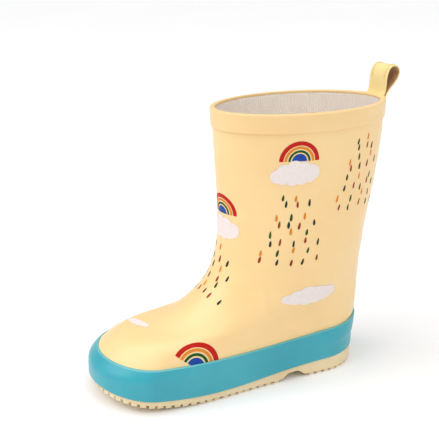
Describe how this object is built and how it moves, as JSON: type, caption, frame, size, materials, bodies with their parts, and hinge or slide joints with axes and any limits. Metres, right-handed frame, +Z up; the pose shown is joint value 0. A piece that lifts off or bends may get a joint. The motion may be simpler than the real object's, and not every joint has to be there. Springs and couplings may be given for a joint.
{
  "type": "rubber rain boot",
  "caption": "Child's pull-on rubber rain boot with a coloured foot band, rolled collar, heel pull loop, ribbed lining and removable footbed.",
  "frame": {"origin": "centre of the bounding box at floor level, under the lugs of the outsole", "axes": "+Z up, the toe points to -Y, +X is the outer side of a left foot"},
  "size_m": [0.0832, 0.2062, 0.1944],
  "materials": {
    "upper_rubber": "satin pale yellow natural rubber sheet",
    "collar_rubber": "satin pale yellow rubber band",
    "foxing_rubber": "satin turquoise rubber band",
    "outsole_rubber": "cream matt rubber, moulded tread",
    "ply_rubber": "rubberised fabric ply",
    "lining_knit": "off-white ribbed knit",
    "seam_tape": "woven tape",
    "thread": "sewing thread",
    "insole_fibre": "fibre board",
    "steel_strip": "plain steel strip",
    "filler_cork": "cork compound",
    "footbed_eva": "soft foam",
    "footbed_cloth": "woven cover",
    "loop_rubber": "rubber-faced strap, tan back"
  },
  "bodies": {
    "boot": {"upper_sheet": "upper_rubber", "back_strip": "collar_rubber", "collar_band": "collar_rubber", "foxing_band": "foxing_rubber", "foxing_heel_patch": "foxing_rubber", "outsole": "outsole_rubber", "toe_puff": "ply_rubber", "vamp_ply": "ply_rubber", "heel_counter": "ply_rubber", "foot_lining": "lining_knit", "leg_lining": "lining_knit", "lining_seam_tape": "seam_tape", "lining_seam_stitches": "thread", "insole_board": "insole_fibre", "shank": "steel_strip", "forefoot_filler": "filler_cork", "heel_filler": "filler_cork", "loop_tail": "loop_rubber"},
    "loop": {"pull_loop": "loop_rubber", "loop_stitches": "thread"},
    "footbed": {"footbed_foam": "footbed_eva", "footbed_cover": "footbed_cloth"}
  },
  "joints": [
    {"name": "pull_loop_hinge", "type": "hinge", "parent": "boot", "child": "loop", "pos_m": [0.00254, 0.09333, 0.17669], "axis": [1, 0, 0], "range_deg": [-60, 90], "stiffness_Nm_per_rad": 0.02},
    {"name": "footbed_lift", "type": "hinge", "parent": "boot", "child": "footbed", "pos_m": [0.00254, -0.0948, 0.0171], "axis": [1, 0, 0], "range_deg": [0, 12]}
  ]
}
